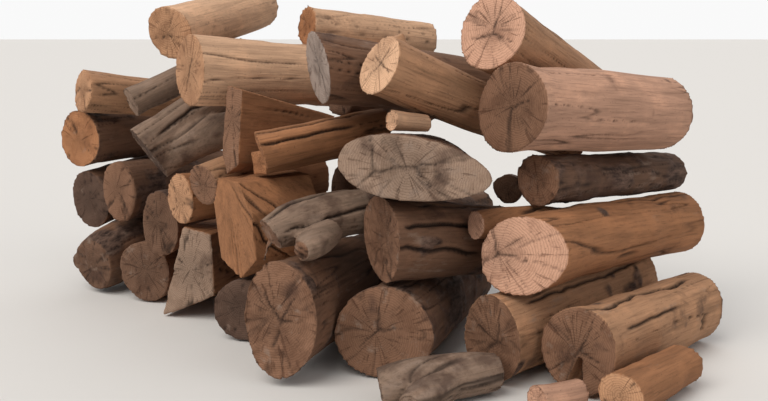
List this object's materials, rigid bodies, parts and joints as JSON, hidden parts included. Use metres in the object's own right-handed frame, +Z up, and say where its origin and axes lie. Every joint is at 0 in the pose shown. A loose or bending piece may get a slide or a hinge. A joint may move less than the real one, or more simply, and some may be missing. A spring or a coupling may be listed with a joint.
{
  "type": "log heap",
  "caption": "Loose heap of short, thick cut logs with sawn, split and broken ends, stacked in uneven layers along a diagonal, with forked and gnarled pieces between them.",
  "frame": {"origin": "middle of the heap's bounding box, at the level it rests on", "axes": "+X to the right along the front of the heap, +Y to its back, +Z up"},
  "size_m": [2.1926, 2.142, 1.0763],
  "materials": {
    "pale_wood": "barkless, dry",
    "orange_wood": "split, rough",
    "grey_wood": "weathered grey",
    "brown_wood": "weathered brown"
  },
  "bodies": {
    "root": {"front_split_face_log": "orange_wood", "front_irregular_end_log": "brown_wood", "front_round_face_log": "brown_wood", "front_notched_face_log": "brown_wood", "front_pale_bottom_log": "pale_wood", "front_weathered_fork": "grey_wood", "front_short_offcut": "pale_wood", "under_split_grain_log": "brown_wood", "left_split_wedge": "orange_wood", "left_ground_log": "brown_wood", "left_knobbly_stump": "brown_wood", "rear_left_ground_log": "brown_wood", "branched_orange_log": "orange_wood", "broken_block_log": "grey_wood", "gnarled_root": "grey_wood", "left_tall_face_log": "brown_wood", "left_oval_face_log": "brown_wood", "left_dark_end_log": "brown_wood", "split_grain_log": "orange_wood", "second_row_hidden_log": "brown_wood", "second_row_right_hidden_log": "brown_wood", "thin_face_log": "orange_wood", "short_dark_face_log": "orange_wood", "pear_crotch_log": "grey_wood", "shaded_filler_log": "brown_wood", "crumbly_end_log": "orange_wood", "forked_grey_log": "grey_wood", "third_row_hidden_log": "brown_wood", "third_row_right_hidden_log": "brown_wood", "broken_fibre_end_log": "orange_wood", "split_slab": "orange_wood", "small_left_log": "pale_wood", "top_right_big_log": "pale_wood", "squared_billet": "orange_wood", "fourth_row_hidden_log": "brown_wood", "small_pale_lump": "pale_wood", "big_pale_log": "pale_wood", "weathered_limb": "grey_wood", "stubbed_light_log": "pale_wood", "diagonal_cut_log": "pale_wood", "top_left_log": "pale_wood", "rear_pale_log": "pale_wood", "top_right_log": "pale_wood"}
  },
  "joints": []
}
